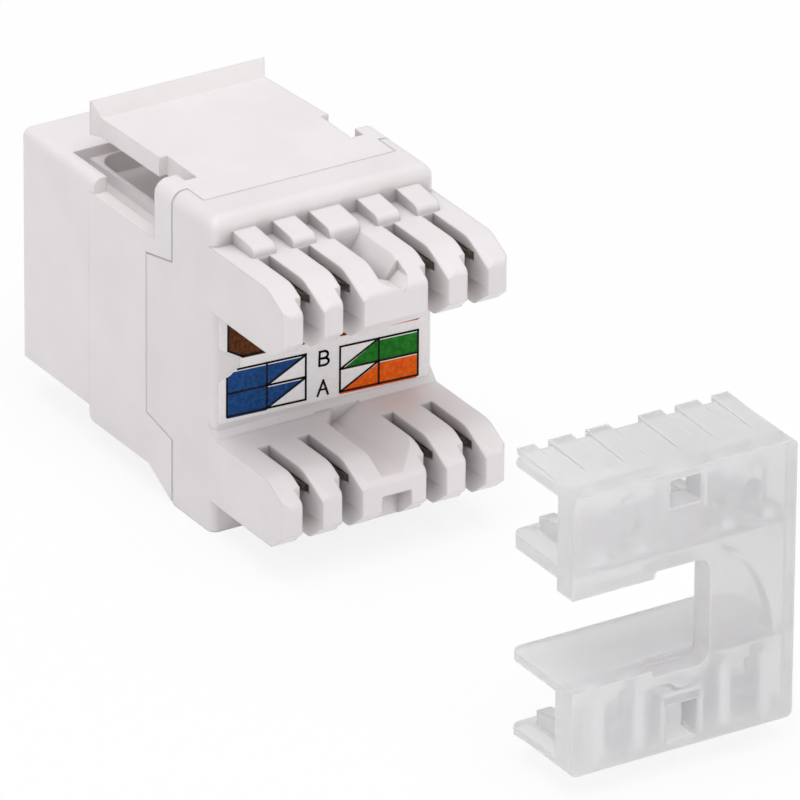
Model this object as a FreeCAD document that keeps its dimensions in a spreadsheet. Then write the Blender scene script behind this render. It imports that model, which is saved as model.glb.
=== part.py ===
import FreeCAD, Part
import math
import os

import Sketcher
from FreeCAD import Placement, Rotation, Vector

# Keystone jack: a snap-in RJ45 socket with insulation-displacement terminals
# at its rear and a clear cap for the terminals.
#
# Frame: X across the jack, Y along it with the port face at Y = 0 and the
# terminals towards -Y, Z up from the underside of the port section.
# Depths are distances behind the port face, so a depth d lies at Y = -d.

SIZES = [
    # drawing aids
    ("overlap", 0.2, "how deep a piece drawn onto another reaches into it"),
    ("past", 1, "how far a cut runs past the material that it cuts"),
    # front housing, outer form
    ("front_half", 7.25, "half width of the section that passes the panel"),
    ("side_step", 0.1, "how much wider each side is behind the panel stop"),
    ("front_top", 14.5, "top of the front section"),
    ("front_round", 0.5, "rounding of the front section's long top edges"),
    ("stop_depth", 7.53, "depth of the panel stop under the housing"),
    ("stop_drop", 0.82, "how far the panel stop reaches down"),
    ("stop_round", 0.45, "rounding of the panel stop's lower edge"),
    ("chin_depth", 14.16, "depth where the chin starts to slope down"),
    ("chin_end", 17.02, "depth where the chin reaches the base"),
    ("base_drop", 2.3, "base of the rear block below the port section"),
    ("wall_step_depth", 8.0, "depth where the side walls step down"),
    ("side_wall_top", 13.6, "top of the side walls behind the step"),
    ("seam_depth", 16.75, "depth of the seam between housing and block"),
    ("seam_gap", 0.06, "gap that shows as the seam"),
    ("root_gap", 0.03, "gap round the lever's root plate in the block"),
    # top recess
    ("side_wall", 0.93, "thickness of the side walls beside the recess"),
    ("ledge_front", 4.2, "depth where the recess starts"),
    ("ledge_floor", 13.1, "floor of the recess"),
    ("ledge_width", 1.1, "width of the ledge between side wall and rim"),
    ("rim_wall", 0.32, "thickness of the rim"),
    ("rim_top", 13.85, "top of the rim"),
    ("rim_front", 4.35, "depth of the pocket's port end"),
    ("rim_rear", 14.45, "depth of the pocket's rear end"),
    ("rim_round", 1.3, "corner radius of the pocket"),
    ("pocket_floor", 12.6, "floor of the pocket"),
    # hood and ears behind the lever
    ("ear_front", 14.84, "depth of the ears' front faces"),
    ("ear_thick", 1.45, "thickness of the ears"),
    ("ear_top", 17.3, "top of the ears"),
    ("ear_round", 0.8, "rounding of the ears' outer top edges"),
    ("hood_top", 15.4, "top of the wall between the ears"),
    # latch lever
    ("lever_top", 17.3, "top of the lever at its root"),
    ("lever_thick", 1.2, "thickness of the lever"),
    ("lever_fall", 0.3, "how much lower the lever's free end lies"),
    ("lever_end", 5.05, "depth of the lever's free end"),
    ("lever_side_gap", 0.3, "gap between the lever's shoulders and the ears"),
    ("lever_taper", 0.15, "how much narrower each side of the lever is at its lip"),
    ("shoulder_depth", 12.45, "depth of the lever's shoulders"),
    ("neck_step", 0.5, "how far the lever's shoulders stand out from its neck"),
    ("root_front", 15.75, "depth where the root plate starts"),
    ("root_rear", 18.5, "depth where the root plate ends"),
    ("root_overlap", 0.4, "how far the root plate runs over each ear"),
    ("lip_overhang", 0.35, "how far the lip stands out from the lever's sides"),
    ("lip_rise", 0.9, "height of the lip above the lever"),
    ("lip_depth", 0.65, "length of the lip along the lever"),
    ("lip_edge", 0.08, "width of the lip's upper edge"),
    ("lip_bevel", 1.5, "width of the bevel at each end of the lip"),
    # port
    ("port_half", 5.95, "half width of the plug opening"),
    ("port_floor", 4.2, "floor of the plug opening"),
    ("port_ceiling", 11.0, "ceiling of the plug opening"),
    ("port_deep", 12.9, "depth of the plug opening"),
    ("tab_half", 3.15, "half width of the plug latch recess"),
    ("tab_floor", 2.6, "floor of the plug latch recess"),
    ("key_half", 1.7, "half width of the lower latch groove"),
    ("key_floor", 1.3, "floor of the lower latch groove"),
    ("sled_slot_front", 0.95, "depth where the room for the contact sled starts"),
    # contact sled and port contacts
    ("sled_thick", 1.0, "thickness of the sled's plate"),
    ("fit_gap", 0.06, "clearance of inner pieces in their seats"),
    ("comb_front", 10.4, "depth of the comb's front"),
    ("comb_top", 10.1, "top of the comb"),
    ("comb_bottom", 7.2, "bottom of the comb"),
    ("comb_skin", 0.4, "plastic left under and behind the comb's slots"),
    ("wire_pitch", 1.02, "pitch of the port contacts"),
    ("wire_width", 0.46, "width of a port contact"),
    ("wire_radius", 0.14, "half thickness of a port contact"),
    ("wire_level", 0.45, "height of the contact wires above the ceiling"),
    ("wire_bend", 0.6, "bend radius of a port contact"),
    ("wire_front", 3.9, "depth of a contact's foremost point"),
    ("wire_tip_depth", 11.6, "depth of a contact's free end"),
    ("wire_tip_level", 8.75, "height of a contact's free end"),
    ("wire_slot", 0.6, "width of a contact's groove"),
    # circuit board
    ("board_wall", 1.15, "distance of the circuit board from the jack's sides"),
    ("board_thick", 1.5, "thickness of the circuit board"),
    ("board_bottom", 0.6, "lower edge of the circuit board"),
    ("board_top", 14.75, "upper edge of the circuit board"),
    ("pin_inset", 0.1, "how far pins end inside the circuit board's far face"),
    ("hole_gap", 0.07, "clearance of a pin in its hole"),
    # rear block
    ("block_rear", 21.14, "depth of the block's end face"),
    ("block_round", 0.8, "rounding of the block's top rear edge"),
    ("block_side_round", 0.5, "rounding of the block's upright rear edges"),
    ("arm_front", 13.93, "depth of the front edge of the side arms"),
    ("arm_top", 12.36, "top of the side arms at their front"),
    ("arm_bottom", 2.37, "bottom of the side arms at their front"),
    ("arm_spread", 0.6, "how much taller the side arms are at the seam"),
    ("arm_thick", 0.6, "thickness of the side arms"),
    # terminal rows
    ("row_tip", 29.1, "depth of the rows' tips"),
    ("row_taper", 27.1, "depth where the rows start to taper"),
    ("upper_top", 15.6, "top of the upper row"),
    ("upper_bottom", 11.6, "bottom of the upper row"),
    ("lower_top", 3.75, "top of the lower row"),
    ("lower_bottom", -0.3, "bottom of the lower row"),
    ("tip_fall", 1.0, "taper of a row's outer face at the tip"),
    ("tip_rise", 1.15, "taper of a row's under face at the tip"),
    ("heel_depth", 27.7, "depth where the rows' under faces start to taper"),
    ("tip_round", 0.4, "rounding of the rows' tips"),
    ("corner_cut", 0.3, "bevel at the outer corners of the rows' tips"),
    ("crest_round", 2.2, "rounding where a row's top starts to taper"),
    ("heel_round", 0.8, "rounding where a row's under face starts to taper"),
    ("root_bevel", 0.35, "bevel between the lower row and the end face"),
    ("slot_inner", 2.78, "distance of the inner wire slots from the middle"),
    ("slot_outer", 5.39, "distance of the outer wire slots from the middle"),
    ("slot_half", 0.39, "half width of a wire slot"),
    ("slot_root", 23.5, "depth of a wire slot's closed end"),
    ("mouth_depth", 27.5, "depth where a slot starts to flare to the right"),
    ("mouth_right", 0.58, "right half width of a slot's mouth at the tips"),
    ("barb_depth", 28.1, "depth of the barb on a slot's left side"),
    ("barb_half", 0.74, "left half width of a slot's mouth at the barb"),
    ("mouth_left", 0.82, "left half width of a slot's mouth at the tips"),
    ("facet_reach", 1.09, "reach of the lead-in facet at the tip, from the slot's middle"),
    ("facet_drop", 0.3, "height of the lead-in facet at the tip"),
    ("scoop_left", 0.75, "left wall of the scoops in the middle teeth"),
    ("scoop_right", 1.0, "right edge of the upper scoop"),
    ("scoop_middle", 0.1, "where the upper scoop's right side starts to rise"),
    ("window_depth", 3.0, "depth of the upper scoop at its left wall"),
    ("window_bend", 1.3, "depth of the upper scoop where its right side bends"),
    ("window_front", 23.45, "depth of the upper scoop's closed end"),
    ("window_end", 27.6, "depth of the upper scoop's outer end"),
    ("trough_side", 0.7, "depth of the trough between scoop and tip at its sides"),
    ("trough_depth", 1.25, "depth of that trough along its valley"),
    ("trough_valley", 0.4, "where the valley of that trough runs"),
    ("lower_scoop_right", 2.2, "right edge of the lower scoop"),
    ("lower_scoop_middle", 0.6, "where the lower scoop's floor starts to rise"),
    ("lower_scoop_depth", 0.85, "depth of the lower scoop at its left wall"),
    ("lower_scoop_root", 21.4, "depth where the lower scoop starts"),
    ("lower_scoop_corner", 22.8, "depth where its left wall turns to the right"),
    ("notch_left", 0.9, "left edge of the notch under the lower middle tooth"),
    ("notch_top", 1.8, "top of the notch under the lower middle tooth"),
    ("notch_front", 27.6, "depth of that notch's front end"),
    # root ribs
    ("rib_width", 1.5, "width of the ribs behind the wire slots"),
    ("rib_shift", 0.63, "distance of a rib's left face from its slot's middle"),
    ("rib_half", 1.0, "half width of the middle rib"),
    ("rib_top", 16.4, "top of the ribs at the block"),
    ("rib_low", 16.15, "top of the ribs at their far end"),
    ("rib_end", 23.4, "depth of the ribs' far end"),
    ("rib_round", 0.4, "rounding of the ribs' far ends"),
    # terminals
    ("fork_half", 1.02, "half width of a terminal fork"),
    ("fork_thick", 0.45, "thickness of a terminal"),
    ("fork_gap", 0.17, "half width of the gap between the tines"),
    ("fork_cover", 1.0, "depth of the forks below the rows' tops"),
    ("pin_drop", 1.0, "how far a terminal's pin lies below its fork"),
    ("joggle_depth", 21.4, "depth of the bend between pin and fork"),
    ("fork_lead", 0.7, "length of the lead-in between the tines"),
    ("fork_tip", 27.7, "depth of the tines' tips"),
    ("fork_flare", 0.55, "half width of the gap at the tines' tips"),
    ("fork_crotch", 22.6, "depth where the tines part"),
    ("fork_root", 17.6, "depth of the fork's shoulders"),
    ("pin_half", 0.3, "half width of a terminal's pin"),
    # wiring label
    ("label_left", 6.92, "left edge of the label"),
    ("label_right", 6.9, "right edge of the label"),
    ("label_bottom", 4.55, "lower left corner of the label"),
    ("label_fall", 0.4, "how much lower the label's lower right corner lies"),
    ("label_top", 11.3, "upper edge of the label"),
    ("label_nick", 1.4, "depth of the nick in the label's left edge"),
    ("nick_top", 9.25, "top of the nick at the label's edge"),
    ("nick_high", 8.4, "top of the nick at its inner end"),
    ("nick_low", 7.9, "bottom of the nick at its inner end"),
    ("nick_bottom", 7.15, "bottom of the nick at the label's edge"),
    ("label_thick", 0.1, "thickness of the label"),
    # terminal cap
    ("cap_half", 7.2, "half width of the cap"),
    ("cap_fit", 0.08, "clearance between the cap and the rows"),
    ("cap_wall", 1.6, "thickness of the cap's front wall"),
    ("cap_reach", 6.4, "length of the cap's channel walls behind its front"),
    ("cap_skin", 0.48, "thickness of the cap's thin channel walls"),
    ("cap_floor_thick", 0.8, "thickness of the upper channel's floor"),
    ("cap_lip", 0.75, "how far the upper front wall hangs below that floor"),
    ("spine_left", 1.7, "left edge of the cap's spine"),
    ("gap_round", 0.88, "rounding of the cap's cable gap"),
    ("gap_bulge", 0.42, "how far the cable gap bulges up and down"),
    ("gap_bulge_left", 1.9, "left end of that bulge"),
    ("gap_bulge_round", 0.18, "rounding of the bulge's left end"),
    ("cap_edge_round", 0.4, "rounding of the cap's right-hand edges"),
    ("cap_corner_round", 0.8, "rounding of the channel walls' corners"),
    ("cap_window_half", 1.0, "half width of the windows in the front wall"),
    ("cap_window_upper", 1.7, "height of the upper window"),
    ("cap_window_lower", 2.3, "height of the lower window"),
    ("nub_rise", 0.25, "height of the grip nubs"),
    ("nub_length", 4.2, "length of the grip nubs"),
    ("nub_width", 1.45, "width of the grip nubs"),
    ("nub_inner", 1.7, "distance of the inner nubs from the middle"),
    ("nub_pitch", 2.38, "pitch of the nubs on each side"),
    ("post_reach", 0.35, "how far the posts stand out from the front wall"),
    ("stuffer_half", 0.45, "half width of the cap's wire stuffers"),
    ("stuffer_reach", 5.6, "length of the stuffers behind the front"),
    ("stuffer_low", 0.85, "height of a stuffer's end above the channel floor"),
    ("stuffer_high", 1.45, "height of a stuffer at the front wall"),
    ("cap_pull", 28.0, "how far the cap is drawn off the rows"),
]


class Size:
    """A length together with the spreadsheet formula that it follows."""

    def __init__(self, value, formula):
        self.value = value
        self.formula = formula

    def _join(self, other, sign, value):
        return Size(value, "(%s %s %s)" % (self.formula, sign, other.formula))

    def __neg__(self):
        return Size(-self.value, "(0 - %s)" % self.formula)

    def __add__(self, other):
        other = as_size(other)
        return self._join(other, "+", self.value + other.value)

    def __sub__(self, other):
        other = as_size(other)
        return self._join(other, "-", self.value - other.value)

    def __mul__(self, other):
        other = as_size(other)
        return self._join(other, "*", self.value * other.value)

    def __radd__(self, other):
        return as_size(other) + self

    def __rsub__(self, other):
        return as_size(other) - self

    def __rmul__(self, other):
        return as_size(other) * self


def as_size(number):
    """Plain numbers are allowed wherever a Size is."""
    if isinstance(number, Size):
        return number
    return Size(float(number), repr(float(number)))


class Dimensions:
    """The spreadsheet's values, each one a Size under its alias."""

    def __init__(self, document, rows):
        sheet = document.addObject("Spreadsheet::Sheet", "Dimensions")
        for row, (alias, number, note) in enumerate(rows, start=1):
            sheet.set("A%d" % row, alias)
            sheet.set("B%d" % row, str(number))
            sheet.setAlias("B%d" % row, alias)
            sheet.set("C%d" % row, note)
        document.recompute()
        for alias, _, _ in rows:
            setattr(self, alias, Size(float(sheet.get(alias)), "Dimensions." + alias))


doc = FreeCAD.newDocument("KeystoneJack")
d = Dimensions(doc, SIZES)

# ---------------------------------------------------------------- helpers


def origin_plane(body, role):
    """One of the body's own origin planes, such as XY_Plane."""
    for item in body.Origin.OriginFeatures:
        if item.Role == role:
            return item
    raise ValueError("no plane " + role)


def new_body(name, label=None):
    body = doc.addObject("PartDesign::Body", name)
    body.Label = label or name
    return body


def tie(sketch, index, kind, size):
    """Bind one coordinate of a line's start point to a formula."""
    if abs(size.value) < 1e-9:
        axis = -2 if kind == "DistanceX" else -1
        sketch.addConstraint(Sketcher.Constraint("PointOnObject", index, 1, axis))
        return
    if size.value > 0:
        rule = Sketcher.Constraint(kind, -1, 1, index, 1, size.value)
        formula = size.formula
    else:
        rule = Sketcher.Constraint(kind, index, 1, -1, 1, -size.value)
        formula = (-size).formula
    number = sketch.addConstraint(rule)
    sketch.setExpression("Constraints[%d]" % number, formula)


def draw_loop(sketch, points):
    """Closed polygon whose corners are all tied to the spreadsheet."""
    first = len(sketch.Geometry)
    points = [(as_size(across), as_size(up)) for across, up in points]
    corners = [Vector(across.value, up.value, 0) for across, up in points]
    for start, end in zip(corners, corners[1:] + corners[:1]):
        sketch.addGeometry(Part.LineSegment(start, end), False)
    count = len(corners)
    for index in range(count):
        following = first + (index + 1) % count
        rule = Sketcher.Constraint("Coincident", first + index, 2, following, 1)
        sketch.addConstraint(rule)
    for index, (across, up) in enumerate(points):
        tie(sketch, first + index, "DistanceX", across)
        tie(sketch, first + index, "DistanceY", up)


def draw(body, name, plane, loops, level):
    """Sketch of one or more closed polygons on a plane at a given level."""
    sketch = body.newObject("Sketcher::SketchObject", name)
    sketch.AttachmentSupport = (origin_plane(body, plane + "_Plane"), [""])
    sketch.MapMode = "FlatFace"
    sketch.setExpression("AttachmentOffset.Base.z", as_size(level).formula)
    for points in loops:
        draw_loop(sketch, points)
    return sketch


def levels(plane, low, high):
    """Range along the plane's normal; the XZ plane's normal is -Y."""
    low = as_size(low)
    high = as_size(high)
    return (-high, -low) if plane == "XZ" else (low, high)


def pad(body, name, plane, loops, low, high):
    """Solid between two levels along X, Y or Z over the given outline."""
    low, high = levels(plane, low, high)
    feature = body.newObject("PartDesign::Pad", name)
    feature.Profile = draw(body, name + "_outline", plane, loops, low)
    feature.setExpression("Length", (high - low).formula)
    body.Tip = feature
    return feature


def pocket(body, name, plane, loops, low, high):
    """Cut between two levels along X, Y or Z inside the given outline."""
    low, high = levels(plane, low, high)
    feature = body.newObject("PartDesign::Pocket", name)
    feature.Profile = draw(body, name + "_outline", plane, loops, high)
    feature.setExpression("Length", (high - low).formula)
    body.Tip = feature
    return feature


def mirror(body, name, features):
    """Repeat features on the other side of the X = 0 plane."""
    feature = body.newObject("PartDesign::Mirrored", name)
    feature.Originals = features
    feature.MirrorPlane = (origin_plane(body, "YZ_Plane"), [""])
    body.Tip = feature
    return feature


def rectangle(left, right, bottom, top):
    return [(left, bottom), (right, bottom), (right, top), (left, top)]


def round_edges(body, name, radius, wanted):
    """Fillet the edges of the body's tip that the test picks out."""
    doc.recompute()
    base = body.Tip
    names = []
    for index, edge in enumerate(base.Shape.Edges, start=1):
        box = edge.BoundBox
        if wanted(box):
            names.append("Edge%d" % index)
    if not names:
        raise ValueError("no edge found for " + name)
    feature = body.newObject("PartDesign::Fillet", name)
    feature.Base = (base, names)
    feature.setExpression("Radius", radius.formula)
    body.Tip = feature
    return feature


def near(number, size):
    return abs(number - as_size(size).value) < 0.01


def runs_along(box, axis, at=None):
    """True for a straight edge along one axis that passes the given place."""
    spans = {"X": box.XLength, "Y": box.YLength, "Z": box.ZLength}
    long_enough = spans.pop(axis) > 0.05
    straight = all(span < 1e-4 for span in spans.values())
    if not (long_enough and straight):
        return False
    middle = {"X": box.Center.x, "Y": box.Center.y, "Z": box.Center.z}
    return all(near(middle[key], size) for key, size in (at or {}).items())


def solid_box(name, x_range, y_range, z_range):
    """Part box between three pairs of faces."""
    box = doc.addObject("Part::Box", name)
    pairs = (("Length", "x", x_range), ("Width", "y", y_range), ("Height", "z", z_range))
    for edge, axis, (low, high) in pairs:
        low = as_size(low)
        high = as_size(high)
        box.setExpression(edge, (high - low).formula)
        box.setExpression("Placement.Base." + axis, low.formula)
    return box


def cylinder_along_y(name, x, z, y_range, radius):
    rod = doc.addObject("Part::Cylinder", name)
    rod.Placement = Placement(Vector(), Rotation(Vector(1, 0, 0), 90))
    low = as_size(y_range[0])
    high = as_size(y_range[1])
    rod.setExpression("Height", (high - low).formula)
    rod.setExpression("Radius", as_size(radius).formula)
    rod.setExpression("Placement.Base.x", as_size(x).formula)
    rod.setExpression("Placement.Base.y", high.formula)
    rod.setExpression("Placement.Base.z", as_size(z).formula)
    return rod


def joined(name, items):
    fuse = doc.addObject("Part::MultiFuse", name)
    fuse.Shapes = items
    fuse.Refine = True
    return fuse


def cut_from(name, base, tools):
    cut = doc.addObject("Part::Cut", name)
    cut.Base = base
    cut.Tool = tools[0] if len(tools) == 1 else joined(name + "_tools", tools)
    cut.Refine = True
    return cut


BODY_HALF = d.front_half + d.side_step
LEDGE_HALF = BODY_HALF - d.side_wall
RIM_HALF = LEDGE_HALF - d.ledge_width
EAR_INNER = BODY_HALF - d.ear_thick
LEVER_ROOT_HALF = EAR_INNER - d.lever_side_gap
LEVER_END_HALF = LEVER_ROOT_HALF - d.lever_taper
NECK_HALF = LEVER_ROOT_HALF - d.neck_step
ROOT_HALF = EAR_INNER + d.root_overlap
LIP_HALF = LEVER_END_HALF + d.lip_overhang
BOARD_HALF = BODY_HALF - d.board_wall
SLOT_CENTRES = [-d.slot_outer, -d.slot_inner, d.slot_inner, d.slot_outer]
WIRE_CENTRES = [d.wire_pitch * (number - 3.5) for number in range(8)]
FORK_LEVELS = [d.upper_top - d.fork_cover, d.lower_top - d.fork_cover]

# ---------------------------------------------------------------- housing


def side_arm_outline(gap):
    """Side view of a block arm; the gap widens it for the housing's window."""
    front = -(d.arm_front - gap)
    rear = -(d.seam_depth + d.seam_gap)
    return [
        (front, d.arm_bottom - gap),
        (front, d.arm_top + gap),
        (rear, d.arm_top + d.arm_spread + gap),
        (rear, d.arm_bottom - d.arm_spread - gap),
    ]


def make_shell():
    """Front housing without its lever, padded from side views."""
    body = new_body("housing_shell")
    rear = -(d.seam_depth - d.seam_gap)
    chin_slope = (d.base_drop - d.stop_drop).value / (d.chin_end - d.chin_depth).value
    seam_bottom = -(d.stop_drop + (d.seam_depth - d.seam_gap - d.chin_depth) * chin_slope)

    front = rectangle(-d.wall_step_depth, 0, 0, d.front_top)
    pad(body, "front_section", "YZ", [front], -d.front_half, d.front_half)
    round_edges(body, "front_rounding", d.front_round, lambda box: runs_along(
        box, "Y", {"Z": d.front_top}))
    side = [
        (-d.stop_depth, -d.stop_drop),
        (-d.chin_depth, -d.stop_drop),
        (rear, seam_bottom),
        (rear, d.hood_top),
        (-d.ear_front, d.hood_top),
        (-d.ear_front, d.side_wall_top),
        (-d.stop_depth, d.side_wall_top),
    ]
    pad(body, "rear_section", "YZ", [side], -BODY_HALF, BODY_HALF)
    ear = rectangle(rear, -d.ear_front, d.ledge_floor, d.ear_top)
    pad(body, "ears", "YZ", [ear], -BODY_HALF, BODY_HALF)
    between = rectangle(-EAR_INNER, EAR_INNER, d.hood_top, d.ear_top + d.past)
    pocket(body, "between_ears", "XZ", [between], rear - d.past, -d.ear_front + d.past)
    round_edges(body, "ear_rounding", d.ear_round, lambda box: runs_along(
        box, "Y", {"Z": d.ear_top}) and near(abs(box.Center.x), BODY_HALF))
    round_edges(body, "stop_rounding", d.stop_round, lambda box: runs_along(
        box, "X", {"Y": -d.stop_depth, "Z": -d.stop_drop}))

    # recess under the lever, with a low rim round a deeper pocket
    recess = rectangle(-LEDGE_HALF, LEDGE_HALF, -d.ear_front, -d.ledge_front)
    pocket(body, "ledge", "XY", [recess], d.ledge_floor, d.front_top + d.past)
    rim = rectangle(-RIM_HALF, RIM_HALF, -(d.rim_rear + d.rim_wall), -d.ledge_front)
    pad(body, "rim", "XY", [rim], d.ledge_floor - d.overlap, d.rim_top)
    inner = RIM_HALF - d.rim_wall
    well = rectangle(-inner, inner, -d.rim_rear, -d.rim_front)
    pocket(body, "well", "XY", [well], d.pocket_floor, d.front_top + d.past)
    round_edges(body, "well_rounding", d.rim_round, lambda box: runs_along(
        box, "Z") and near(abs(box.Center.x), inner) and (
            near(box.Center.y, -d.rim_front) or near(box.Center.y, -d.rim_rear)))

    # plug opening, latch recess and the room for the contact sled
    port = rectangle(-d.port_half, d.port_half, d.port_floor, d.port_ceiling)
    board_front = -(d.seam_depth - d.board_thick)
    pocket(body, "port", "XZ", [port], board_front, d.past)
    tab = rectangle(-d.tab_half, d.tab_half, d.tab_floor, d.port_floor + d.overlap)
    pocket(body, "tab_recess", "XZ", [tab], -d.port_deep, d.past)
    key = rectangle(-d.key_half, d.key_half, d.key_floor, d.tab_floor + d.overlap)
    pocket(body, "key_groove", "XZ", [key], -d.port_deep, d.past)
    sled_room = rectangle(-d.port_half, d.port_half, d.port_ceiling - d.overlap,
                          d.port_ceiling + d.sled_thick)
    pocket(body, "sled_room", "XZ", [sled_room], board_front, -d.sled_slot_front)

    # room for the circuit board, open to the rear
    gap = d.fit_gap
    room = rectangle(-BOARD_HALF - gap, BOARD_HALF + gap,
                     d.board_bottom - gap, d.board_top + gap)
    pocket(body, "board_room", "XZ", [room], rear - d.past, board_front + gap)

    # windows for the block's side arms
    window = pocket(body, "arm_window", "YZ", [side_arm_outline(d.seam_gap)],
                    BODY_HALF - d.arm_thick, BODY_HALF + d.past)
    mirror(body, "arm_windows", [window])
    return body


def make_lever():
    """Latch lever: its side view extruded across, trimmed to its plan view."""
    top = d.lever_top
    end_top = d.lever_top - d.lever_fall
    under = d.lever_top - d.lever_thick
    lip_rear = -(d.lever_end + d.lip_depth)
    side_body = new_body("lever_side")
    side = [
        (-d.lever_end, end_top - d.lever_thick),
        (-d.lever_end, end_top + d.lip_rise),
        (-d.lever_end - d.lip_edge, end_top + d.lip_rise),
        (lip_rear, end_top),
        (-d.shoulder_depth, top),
        (-d.root_rear, top),
        (-d.root_rear, under),
        (-d.shoulder_depth, under),
    ]
    pad(side_body, "lever_profile", "YZ", [side], -ROOT_HALF - d.past, ROOT_HALF + d.past)

    plan_body = new_body("lever_plan")
    half = [
        (LIP_HALF - d.lip_bevel, -d.lever_end),
        (LIP_HALF, -d.lever_end),
        (LEVER_END_HALF, lip_rear),
        (LEVER_ROOT_HALF, -d.shoulder_depth),
        (NECK_HALF, -d.shoulder_depth),
        (NECK_HALF, -d.root_front),
        (ROOT_HALF, -d.root_front),
        (ROOT_HALF, -d.root_rear),
    ]
    plan = half + [(-across, up) for across, up in reversed(half)]
    pad(plan_body, "lever_outline", "XY", [plan], d.pocket_floor, d.ear_top + d.past)

    lever = doc.addObject("Part::MultiCommon", "lever")
    lever.Shapes = [side_body, plan_body]
    return lever


def make_root():
    """Wall that joins the lever's root plate to the hood."""
    return solid_box(
        "lever_root_wall",
        (-EAR_INNER - d.overlap, EAR_INNER + d.overlap),
        (-(d.seam_depth - d.seam_gap), -d.root_front),
        (d.hood_top - d.overlap, d.lever_top - d.lever_thick + d.overlap),
    )


def make_housing():
    housing = joined("housing", [make_shell(), make_root(), make_lever()])
    housing.Label = "housing"
    return housing


# ---------------------------------------------------------------- rear block


def slot_outline(centre):
    """Plan of a wire slot: a barb on its left, a flared mouth on its right."""
    tip = -(d.row_tip + d.overlap)
    return [
        (centre - d.mouth_left, tip),
        (centre + d.mouth_right, tip),
        (centre + d.slot_half, -d.mouth_depth),
        (centre + d.slot_half, -d.slot_root),
        (centre - d.slot_half, -d.slot_root),
        (centre - d.slot_half, -d.barb_depth),
        (centre - d.barb_half, -d.barb_depth),
    ]


def cut_facet(body, name, centre, row_top):
    """Flat lead-in facet on a mouth's right, from the start of its flare to the tip.

    A wedge drawn across the tip is swept along the facet's own lower edge."""
    fall = d.tip_fall.value / (d.row_tip - d.row_taper).value
    start_level = row_top - (d.mouth_depth - d.row_taper) * fall
    tip_level = row_top - d.tip_fall
    low = tip_level - d.facet_drop
    lean = d.facet_drop.value / (d.facet_reach - d.mouth_right).value
    reach = d.facet_reach * 2
    wedge = [
        (centre, low - d.mouth_right * lean),
        (centre + reach, low + (reach - d.mouth_right) * lean),
        (centre, low + (reach - d.mouth_right) * lean),
    ]
    feature = pocket(body, name, "XZ", [wedge], -d.row_tip, -d.mouth_depth)
    feature.UseCustomVector = True
    feature.AlongSketchNormal = True
    feature.Direction = FreeCAD.Vector(
        (d.slot_half - d.mouth_right).value,
        (d.row_tip - d.mouth_depth).value,
        (start_level - low).value)
    return feature


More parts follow.
